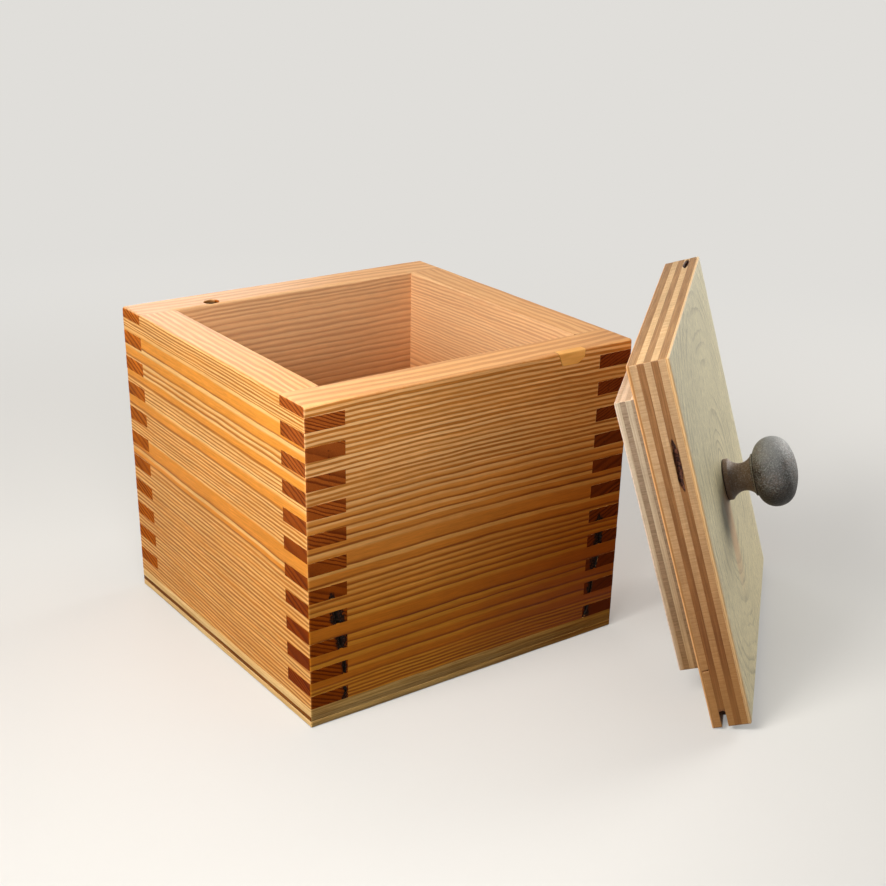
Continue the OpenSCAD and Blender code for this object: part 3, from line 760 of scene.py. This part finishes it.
def knot_cutter():
    """A leaning, uneven round hole that narrows at its bottom."""
    rings = []
    for i in range(13):
        height = TOP + 1.5 - i * 0.85
        y = KNOT_Y + 0.9 * math.tan(math.radians(KNOT_LEAN)) * (TOP - height)
        narrowing = 1.0 if i < 11 else 0.75 - 0.35 * (i - 11)
        size = KNOT_R * narrowing * (1 + 0.1 * max(0, 1 - i / 2.2))
        ring = []
        for c, s in circle(20):
            radius = size * (1 + 0.09 * lumpy(c * 1.6, s * 1.6, i * 0.35))
            ring.append((KNOT_X + radius * c, y + radius * s * 0.84, height))
        rings.append(ring)
    return lump("knot_cutter", rings)


def patch_cutter():
    """The socket of the edge repair, a hair larger than the repair, open towards the front and the top."""
    grow = GLUE_GAP / 2

    def outline_point(side, depth, x):
        return PATCH_X + x + side * grow, TOP - depth - (grow if depth == PATCH_H else 0)
    outline = [(PATCH_X - grow, TOP + 1.0)] + [outline_point(-1, *point) for point in PATCH_LEFT]
    outline += [outline_point(1, *point) for point in reversed(PATCH_RIGHT)]
    outline += [(PATCH_X + PATCH_W + grow, TOP + 1.0)]
    return lump("patch_cutter", [[(x, y, z) for x, z in outline] for y in (Y0 - 1.0, Y0 + PATCH_D + grow)])


carve(left, pocket_cutter(LEFT_POCKET))
carve(right, pocket_cutter(RIGHT_POCKET))
carve(back, knot_cutter())
carve(front, patch_cutter())
for ob in (front, back, left, right):
    ease(ob, 0.12)
    paint(ob, "wear", edge_wear(ob))

# which vertices line a hollow
paint(front, "bark", np.zeros(len(front.data.vertices)))
x, y, z = vertices(back).T
knot_y = KNOT_Y + 0.29 * (TOP - z)
in_hole = (np.hypot(x - KNOT_X, y - knot_y) < KNOT_R * 1.2) & (y > Y1 - WALL + 0.35) & (z > TOP - 12)
paint(back, "bark", np.clip((TOP - 0.5 - z) / 1.2, 0, 1) * in_hole)
for ob in (left, right):
    x, y, z = vertices(ob).T
    in_pocket = (y > Y0 + 0.12) & (y < Y0 + 3) & (np.abs(x) < 79) & (np.abs(x) > X1 - WALL + 0.15) & (z < 66)
    paint(ob, "bark", in_pocket)


def edge_repair():
    """The repair itself, cut to the rim's own rounding."""
    clear = 0.03
    xs = lines([PATCH_X, PATCH_X + PATCH_W], 0.8)
    ys = lines(near(Y0, 1) + [Y0 + PATCH_D], 1.2)
    zs = lines(near(TOP, -1) + [TOP - PATCH_H], 0.9)
    points, faces = grid(xs, ys, zs)
    depth = TOP - points[:, 2]
    left_end = np.interp(depth, *zip(*PATCH_LEFT)) + clear
    right_end = np.interp(depth, *zip(*PATCH_RIGHT)) - clear
    along = (points[:, 0] - PATCH_X) / PATCH_W
    points[:, 0] = PATCH_X + left_end + (right_end - left_end) * along
    points[:, 2] = np.maximum(points[:, 2], TOP - PATCH_H + GLUE_GAP / 2)
    ob = mesh_object("edge_repair", soften(points, [(1, Y0, 1), (2, TOP, -1)], 0.85), faces)
    paint(ob, "wear", edge_wear(ob))
    return ob


patch = edge_repair()


# ---------------- plies
def side_gaps(points, low, high):
    """How far each point lies in from the four upright sides."""
    x, y = points[:, 0], points[:, 1]
    return np.stack([x - low[0], high[0] - x, y - low[1], high[1] - y])


def slab(name, low, high, big=(0.0, 0.0), corner=0.6, place=None, step=5.0, closer=(), hole=None, shape=None,
         ragged=0.05):
    """One ply: a flat board with softened edges.

    big: radius of the worn arris on its lower and upper face. corner: radius of its upright corners.
    closer: (axis, from, to, step) closer grid lines. shape(points, flat): last changes to the points, and
    which of them line a hollow. ragged: how unevenly its cut edge stands, in mm."""
    lower, upper = max(ARRIS, big[0]), max(ARRIS, big[1])
    shares = (0, 0.3, 0.65, 1.0)
    marks = [near(low[axis], 1, 1.2) + near(high[axis], -1, 1.2) for axis in (0, 1)]
    marks.append([low[2] + lower * share for share in shares] + [high[2] - upper * share for share in shares])
    for axis, start, end, apart in closer:
        marks[axis] += list(np.arange(start, end + apart / 2, apart))
    flat, faces = grid(*(lines(each, longest) for each, longest in zip(marks, (step, step, 2.0))))
    sides = [(0, low[0], 1), (0, high[0], -1), (1, low[1], 1), (1, high[1], -1)]
    points = soften(flat, sides, corner)
    # the arrises of the two flat faces
    on_top = flat[:, 2] >= (low[2] + high[2]) / 2
    radius = np.where(on_top, upper, lower) * (1 + 0.3 * wobble(flat, 11.0, seed=low[2]))
    gaps = side_gaps(points, low, high)
    height = np.where(on_top, high[2] - flat[:, 2], flat[:, 2] - low[2])
    beyond_side = np.clip(radius - gaps.min(axis=0), 0, None)
    beyond_face = np.clip(radius - height, 0, None)
    reach = np.hypot(beyond_side, beyond_face)
    pull = 1 - np.where(reach > radius, radius / np.maximum(reach, 1e-9), 1.0)
    closest = (gaps - gaps.min(axis=0) < ON).astype(int)
    points[:, 0] += (closest[0] - closest[1]) * beyond_side * pull
    points[:, 1] += (closest[2] - closest[3]) * beyond_side * pull
    points[:, 2] += np.where(on_top, -1, 1) * beyond_face * pull
    push = ragged * (0.5 + 0.5 * wobble(flat, 3.5, seed=low[2] * 1.7))
    for axis, position, sign in sides:
        on_side = np.abs(flat[:, axis] - position) < ON
        points[on_side, axis] += sign * push[on_side]
    bark = np.zeros(len(points))
    if shape is not None:
        points, bark = shape(points, flat)
    worn = np.zeros(len(points))
    for radius, height in ((big[0], flat[:, 2] - low[2]), (big[1], high[2] - flat[:, 2])):
        if radius:
            from_arris = np.maximum(side_gaps(flat, low, high).min(axis=0), height)
            worn = np.maximum(worn, np.clip(1 - from_arris / (radius * 1.25), 0, 1))
    return painted_ply(name, points, faces, worn, bark, place, hole)


def painted_ply(name, points, faces, worn, bark, place, hole):
    ob = mesh_object(name, points, faces, place)
    paint(ob, "wear", worn)
    paint(ob, "bark", bark)
    if hole is not None:
        carve(ob, hole, keep=True)
    return ob


def hollow(points, flat, axis, side, inward, ends, heights, depth, seed):
    """A hollow in a ply's cut edge, tapering to both its ends. axis, side: the plane of that edge."""
    run = 1 - axis
    t = (flat[:, run] - ends[0]) / (ends[1] - ends[0])
    on = (np.abs(flat[:, axis] - side) < ON) & (t > 0) & (t < 1)
    profile = np.clip(np.sin(np.pi * np.clip(t, 0, 1)), 0, 1) ** 0.6
    rough = 0.75 + 0.35 * wobble(flat, 3.2, seed) + 0.2 * wobble(flat, 1.3, seed + 2)
    level = flat * [1, 1, 0]
    middle = 0.5 + 0.16 * wobble(level, 6.0, seed + 4)
    half = 0.5 * profile * (0.95 + 0.25 * wobble(level, 2.6, seed + 6))
    from_middle = ((flat[:, 2] - heights[0]) / (heights[1] - heights[0]) - middle) / np.maximum(half, 0.02)
    belly = np.clip(1 - from_middle ** 2, 0, 1) ** 0.5
    points[on, axis] += inward * (depth * profile * rough * belly)[on]
    return points, np.where(on, np.clip(belly * 2.2, 0, 1), 0.0)


def fourth_core_ply(points, flat):
    heights = PLY_HEIGHTS[4:6]
    points, near_bark = hollow(points, flat, 0, 0.0, 1, NEAR_VOID, heights, 3.2, 2.0)
    points, top_bark = hollow(points, flat, 1, DEPTH, -1, TOP_VOID, heights, 4.0, 5.0)
    return points, np.maximum(near_bark, top_bark)


def skewed_end(end):
    """Slants a ply's end as the butt joint does."""
    middle = (PLY_HEIGHTS[1] + PLY_HEIGHTS[2]) / 2

    def shape(points, flat):
        share = np.clip(1 - np.abs(flat[:, 1] - end) / 6.0, 0, 1)
        points[:, 1] += share * (flat[:, 2] - middle) * math.tan(math.radians(BUTT_SLANT))
        return points, np.zeros(len(points))
    return shape


def notched_ply(hole):
    """The second core ply, with the open gap at its lower near corner."""
    low, high = PLY_HEIGHTS[2:4]
    xs = lines(near(0, 1, 1.2) + near(WIDTH, -1, 1.2) + [NOTCH_X, NOTCH_X - 1.5, NOTCH_X + 1.5], 5.0)
    ys = lines(near(0, 1, 1.2) + near(DEPTH, -1, 1.2) + [NOTCH_Y, NOTCH_Y - 1.0, NOTCH_Y + 1.5], 5.0)
    zs = lines([low, low + ARRIS, (low + high) / 2, high - ARRIS, high], 2.0)
    missing = (xs[:-1] < NOTCH_X - ON)[:, None, None] & (ys[:-1] < NOTCH_Y - ON)[None, :, None]
    full = np.broadcast_to(~missing, (len(xs) - 1, len(ys) - 1, len(zs) - 1))
    flat, faces = grid(xs, ys, zs, full)
    points = soften(flat, [(0, 0, 1), (0, WIDTH, -1), (1, 0, 1), (1, DEPTH, -1)], 0.6)
    x, y = flat[:, 0], flat[:, 1]
    torn = (np.abs(y - NOTCH_Y) < ON) & (x < NOTCH_X + 0.1)
    points[torn, 1] += 0.9 * wobble(flat[torn], 2.2, 4.0)
    bark = (np.abs(y - NOTCH_Y) < 0.2) & (x < NOTCH_X + 0.2)
    bark |= (np.abs(x - NOTCH_X) < 0.1) & (y < NOTCH_Y + 0.2)
    return painted_ply("lid_ply_2", points, faces, np.zeros(len(points)), 0.8 * bark, LID, hole)


base_plies = [
    slab("base_lower", (X0, Y0, 0), (X1, Y1, BASE_HEIGHTS[1]), big=(1.0, 0), corner=0.8, step=9.0),
    slab("base_middle", (X0, Y0, BASE_HEIGHTS[1]), (X1, Y1, BASE_HEIGHTS[2]), corner=0.8, ragged=0.16),
    slab("base_upper", (X0, Y0, BASE_HEIGHTS[2]), (X1, Y1, BASE), corner=0.8, step=9.0),
]

# the screw's hole, right through the lid, with a countersink in the panel's face: (radius, height)
BORE = ((4.3, -PANEL - 1.0), (4.2, -PANEL), (2.2, -9.4), (2.2, PLATE + 1.5))
bore = lump("bore", [[(KNOB_X + r * c, KNOB_Y + r * s, z) for c, s in circle(32)] for r, z in BORE], LID)

# closer grid lines at the voids: (axis, from, to, step)
CLOSER = ((1, 111.2, 136.4, 0.7), (0, 152.0, 172.4, 0.8), (2, *PLY_HEIGHTS[4:6], 0.24))
# the plate's plies that are one plain board: (piece, its number, how it is made)
WHOLE_PLIES = [
    ("lid_inner_face", 0, dict(big=(0.8, 0), step=9.0)),
    ("lid_ply_3", 3, dict(ragged=0.1)),
    ("lid_ply_4", 4, dict(ragged=0.14, shape=fourth_core_ply, closer=CLOSER)),
    ("lid_ply_5", 5, dict(ragged=0.1)),
    ("lid_outer_face", 6, dict(big=(0, 1.0), step=9.0)),
]
lid = {}
for name, i, made in WHOLE_PLIES:
    high = (WIDTH, DEPTH, PLY_HEIGHTS[i + 1])
    lid[name] = slab(name, (0, 0, PLY_HEIGHTS[i]), high, place=LID, hole=bore, **made)
lid["lid_ply_2"] = notched_ply(bore)
# the first core ply is pieced from a long and a short length
long_start, short_end = BUTT + BUTT_GAP / 2, BUTT - BUTT_GAP / 2
low, high = PLY_HEIGHTS[1:3]
lid["lid_ply_1"] = slab("lid_ply_1", (0, long_start, low), (WIDTH, DEPTH, high), place=LID, ragged=0.1,
                        hole=bore, shape=skewed_end(long_start))
lid["lid_ply_1_end"] = slab("lid_ply_1_end", (0, 0, low), (WIDTH, short_end, high), place=LID, ragged=0.1,
                            shape=skewed_end(short_end))
panel = []
for i in range(SHEETS):
    low = (PANEL_IN, PANEL_IN, -SHEET * (i + 1))
    high = (WIDTH - PANEL_IN, PANEL_TOP, -SHEET * i)
    worn = 0.7 if i == SHEETS - 1 else 0.0
    panel.append(slab("panel_sheet_%d" % (i + 1), low, high, big=(worn, 0.0), corner=0.5, place=LID,
                      hole=bore, ragged=0.12 if i % 2 else 0.06))
bpy.data.objects.remove(bore)

# ---------------- the turned knob
FOOT_R, COLLAR_R, COVE_R, COVE_Z, COVE_X = 9.8, 10.0, 6.2, 8.0, 12.8
HEAD_Z, HEAD_HALF, RIM_R, RIM_AT, CROWN_R = 22.7, 10.5, 8.8, 7.7, 27.09
CROWN_AT = CROWN_R - HEAD_HALF
JOIN_R = CROWN_R * RIM_AT / (CROWN_R - RIM_R)


def crown(r):
    """Height of the head's face above or below its middle at radius r."""
    return math.sqrt(CROWN_R ** 2 - r ** 2) - CROWN_AT


def knob_profile():
    """(radius, height) from the middle of the foot to the middle of the head's face."""
    foot = [(0.0, 0.0), (4.0, 0.0), (9.3, 0.0), (9.66, 0.12)]
    foot += [(FOOT_R, 0.45), (FOOT_R, 1.5), (9.78, 2.3), (9.66, 2.58)]
    turns = np.radians(np.linspace(-58, 55, 19))
    cove = [(COVE_X - COVE_R * math.cos(a), COVE_Z + COVE_R * math.sin(a)) for a in turns]
    collar = [(9.62, 13.14), (9.9, 13.34), (COLLAR_R, 13.62), (9.94, 13.86), (9.7, 14.0), (9.42, 13.96)]
    under = [(r, HEAD_Z - crown(r)) for r in np.linspace(9.35, JOIN_R, 4)]
    turn = math.atan2(crown(JOIN_R), JOIN_R - RIM_AT)
    turns = np.linspace(-turn, turn, 21)[1:-1]
    rim = [(RIM_AT + RIM_R * math.cos(a), HEAD_Z + RIM_R * math.sin(a)) for a in turns]
    face = [(r, HEAD_Z + crown(r)) for r in np.linspace(JOIN_R, 0.0, 10)]
    return foot + cove + collar + under + rim + face


def turned_knob(count=72):
    profile = knob_profile()
    points = [(KNOB_X, KNOB_Y, PLATE + profile[0][1])]
    for r, z in profile[1:-1]:
        for c, s in circle(count):
            size = 1 + 0.006 * lumpy(c * 1.1, s * 1.1, z / 9) + 0.004 * lumpy(c * 4, s * 4, z / 3)
            # the widest places stay inside their true radius
            if r > 15.6 or abs(r - FOOT_R) < 0.3:
                size = min(size, 1.0)
            points.append((KNOB_X + 0.999 * r * size * c, KNOB_Y + 0.999 * r * size * s, PLATE + z))
    points.append((KNOB_X, KNOB_Y, PLATE + profile[-1][1]))
    around = [(j, (j + 1) % count) for j in range(count)]
    starts = [1 + count * i for i in range(len(profile) - 2)]
    faces = [(0, starts[0] + after, starts[0] + j) for j, after in around]
    for a, b in zip(starts, starts[1:]):
        faces += [(a + j, a + after, b + after, b + j) for j, after in around]
    faces += [(starts[-1] + j, starts[-1] + after, len(points) - 1) for j, after in around]
    return mesh_object("knob", points, faces, LID, sharp=40)


knob = turned_knob()

# ---------------- the materials in use
mat_front = board("Fir, front board", "x", lambda mat: mat.y - Y0, RINGS_FRONT, -0.42,
                  (rgb(250, 196, 132), rgb(222, 146, 66), rgb(142, 74, 18)), 1.0, 2.2, bow=1.4,
                  oil_and_shade=(1.0, 0.95))
mat_back = board("Fir, back board", "x", lambda mat: Y1 - mat.y, RINGS_BACK, 0.42,
                 (rgb(246, 196, 136), rgb(228, 158, 90), rgb(158, 86, 34)), 7.0, 3.0, drift=-0.01,
                 ends_tones=(rgb(214, 118, 38), rgb(118, 50, 8)))
mat_left = board("Fir, left board", "y", lambda mat: mat.x - X0, RINGS_LEFT, 0.42,
                 (rgb(254, 207, 134), rgb(236, 152, 52), rgb(144, 64, 5)), 13.0, 2.0, drift=-0.012,
                 fan=-0.0003, oil_and_shade=(0.38, 0.0), stain=bark_stain(-1, LEFT_BARK))
# the right board's end grain has darker tones: painted shade
mat_right = board("Fir, right board", "y", lambda mat: X1 - mat.x, RINGS_RIGHT, 0.42,
                  (rgb(240, 190, 128), rgb(218, 147, 80), rgb(150, 82, 30)), 21.0, 3.0, drift=0.01,
                  ends_tones=(rgb(122, 52, 12), rgb(72, 26, 4)), stain=bark_stain(1, RIGHT_BARK))
mat_patch = patch_material()
mat_base = base_material("Base ply, face plies", BASE_PALE, 2.0)
mat_core = base_material("Base ply, middle", BASE_DARK, 5.0)
mat_light = ply_edge("Plate ply, grain along the plate", (*PLY_PALE, "hatched"),
                     (*TOP_BROWN, "streaked"), 3.0)
mat_dark = ply_edge("Plate ply, grain up the plate", (*PLY_TAN, "streaked"), (*TOP_CREAM, "hatched"), 6.0)
mat_sheets = [ply_edge("Panel ply, grain along the plate", (*SHEET_PALE, "streaked"),
                       (*SHEET_TOP_DULL, "hatched"), 9.0, arris=SHEET_EDGE),
              ply_edge("Panel ply, grain up the plate", (*SHEET_DULL, "hatched"),
                       (*SHEET_TOP_PALE, "streaked"), 12.0, arris=SHEET_EDGE)]
# its low colour is a little brighter than its top one: painted light
mat_outer = veneer("Plate face veneer, knob side", rgb(224, 212, 170), rgb(231, 216, 172), rgb(142, 128, 96),
                   rgb(255, 210, 150), (86.0, 83.0), 4.0, oval=1.05, shown=0.42, knob_side=True)
mat_inner = veneer("Plate face veneer, inner side", rgb(206, 170, 124), rgb(190, 152, 108), rgb(156, 114, 74),
                   rgb(222, 168, 112), (40.0, -60.0), 17.0, oval=3.2, shown=0.6, knob_side=False)

# ---------------- bodies, nodes, slots, materials
PIECES = [
    (front, "box", ["front_wall"], "front_board", mat_front),
    (back, "box", ["back_wall"], "back_board", mat_back),
    (left, "box", ["left_wall"], "left_board", mat_left),
    (right, "box", ["right_wall"], "right_board", mat_right),
    (patch, "box", ["edge_patch"], "patch_wood", mat_patch),
    (base_plies[0], "box", ["base_lower_ply"], "base_veneer", mat_base),
    (base_plies[1], "box", ["base_core_ply"], "base_crossband", mat_core),
    (base_plies[2], "box", ["base_upper_ply"], "base_veneer", mat_base),
    (lid["lid_inner_face"], "lid", ["lid_inner_veneer"], "lid_inner_face", mat_inner),
    (lid["lid_ply_1"], "lid", ["lid_core_1_long"], "lid_long_core", mat_light),
    (lid["lid_ply_1_end"], "lid", ["lid_core_1_short"], "lid_long_core", mat_light),
    (lid["lid_ply_2"], "lid", ["lid_core_2"], "lid_end_core", mat_dark),
    (lid["lid_ply_3"], "lid", ["lid_core_3"], "lid_long_core", mat_light),
    (lid["lid_ply_4"], "lid", ["lid_core_4"], "lid_end_core", mat_dark),
    (lid["lid_ply_5"], "lid", ["lid_core_5"], "lid_long_core", mat_light),
    (lid["lid_outer_face"], "lid", ["lid_outer_veneer"], "lid_outer_face", mat_outer),
    (knob, "lid", ["lid_knob"], "knob_wood", knob_material()),
]
for i, ob in enumerate(panel):
    slot = ("panel_light_ply", "panel_dark_ply")[i % 2]
    PIECES.append((ob, "lid", ["panel_ply_%d" % (i + 1)], slot, mat_sheets[i % 2]))
for ob, body, nodes, slot, material in PIECES:
    ob.data.materials.clear()
    ob.data.materials.append(material)
    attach(ob, body)
    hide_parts(*nodes)
steel = steel_material()
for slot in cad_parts["knob_screw"].material_slots:
    slot.material = steel

# ---------------- floor, light, camera
BACKDROP = rgb(224, 222, 218)


def stage_material():
    """Pale paper. Towards the object it takes the lamps' light and the shadows; far off it is evenly pale.
    What isn't seen by the camera or in a gloss is dark, as the cloth under a photographed object would be."""
    mat = Mat("Floor paper")
    rays = mat.node("ShaderNodeLightPath").outputs
    seen = Value(mat, rays["Is Camera Ray"])
    for kind in ("Is Glossy Ray", "Is Transmission Ray"):
        seen = mat.math("MAXIMUM", seen, Value(mat, rays[kind]))
    lit = mat.length(mat.point).step(800.0, 200.0, 0.0, 0.72)
    paper = mat.mix(seen * lit, (0, 0, 0, 1), rgb(216, 214, 210))
    mat.put(mat.shader.inputs["Emission Color"], BACKDROP)
    mat.put(mat.shader.inputs["Emission Strength"], seen * (1.0 - lit * 0.92))
    fibres = mat.noise(0.5, 3, 0.6)
    return mat.finish(mat.mix(seen, rgb(52, 51, 50), paper), 0.85, fibres, 0.1, 0.1, specular=0.0)


def floor_sweep():
    """Paper that runs back level and curves up into an upright backdrop, turned to face the camera."""
    bend_y, bend_r = 1500.0, 700.0
    turns = np.radians(np.linspace(0, 90, 13))
    bend = [(bend_y + bend_r * math.sin(a), bend_r - bend_r * math.cos(a)) for a in turns]
    profile = [(-2200.0, 0.0), *bend, (2200.0, 2600.0)]
    c, s = math.cos(math.radians(-36)), math.sin(math.radians(-36))
    points = []
    for x in np.linspace(-3200.0, 3200.0, 5):
        points += [(x * c - y * s, x * s + y * c, z - 0.02) for y, z in profile]
    n = len(profile)
    faces = [(i + j, i + n + j, i + n + j + 1, i + j + 1) for i in range(0, 4 * n, n) for j in range(n - 1)]
    return mesh_object("floor", points, faces)


floor = floor_sweep()
floor.data.materials.append(stage_material())

scene = bpy.context.scene
scene.world = bpy.data.worlds.new("studio")
scene.world.use_nodes = True
sky = scene.world.node_tree
sky.nodes.clear()
choose = sky.nodes.new("ShaderNodeMixShader")
sky.links.new(sky.nodes.new("ShaderNodeLightPath").outputs["Is Camera Ray"], choose.inputs[0])
for socket, colour, strength in ((1, (0.92, 0.95, 1.0, 1), 0.065), (2, BACKDROP, 1.0)):
    background = sky.nodes.new("ShaderNodeBackground")
    background.inputs["Color"].default_value = colour
    background.inputs["Strength"].default_value = strength
    sky.links.new(background.outputs[0], choose.inputs[socket])
sky.links.new(choose.outputs[0], sky.nodes.new("ShaderNodeOutputWorld").inputs[0])

# soft lamps: name, place, target, size, watts, colour
LAMPS = [
    ("key", (-0.82, -0.13, 0.72), (-0.02, -0.03, 0.07), 0.42, 9.6, (1.0, 0.97, 0.93)),
    ("near", (-0.2, -0.24, 0.29), (-0.03, -0.06, 0.1), 0.14, 0.66, (1.0, 0.97, 0.93)),
    ("top", (0.0, 0.05, 1.1), (0, 0, 0.05), 0.8, 1.3, (1.0, 0.99, 0.97)),
    ("back", (0.25, 0.95, 0.28), (0.0, 0.05, 0.07), 0.5, 2.8, (1.0, 0.99, 0.97)),
    ("side", (1.25, -0.02, 0.52), (0.16, -0.12, 0.08), 0.75, 12.4, (1.0, 0.985, 0.955)),
]
for name, place, target, size, watts, colour in LAMPS:
    light = bpy.data.lights.new(name, "AREA")
    light.shape, light.size, light.energy, light.color = "DISK", size, watts, colour
    lamp = bpy.data.objects.new(name, light)
    lamp.location = place
    lamp.rotation_euler = (Vector(target) - Vector(place)).to_track_quat("-Z", "Y").to_euler()
    lamp.visible_camera = False
    scene.collection.objects.link(lamp)

camera = bpy.data.objects.new("camera", bpy.data.cameras.new("camera"))
scene.collection.objects.link(camera)
camera.location = (-0.3538, -0.54472, 0.33675)
camera.rotation_euler = [math.radians(angle) for angle in (63.7348, -1.1406, -35.6138)]
camera.data.sensor_width = 36
camera.data.lens = 58.15
camera.data.shift_y = 0.15
camera.data.clip_start = 0.01
scene.camera = camera
scene.view_settings.view_transform = "Standard"
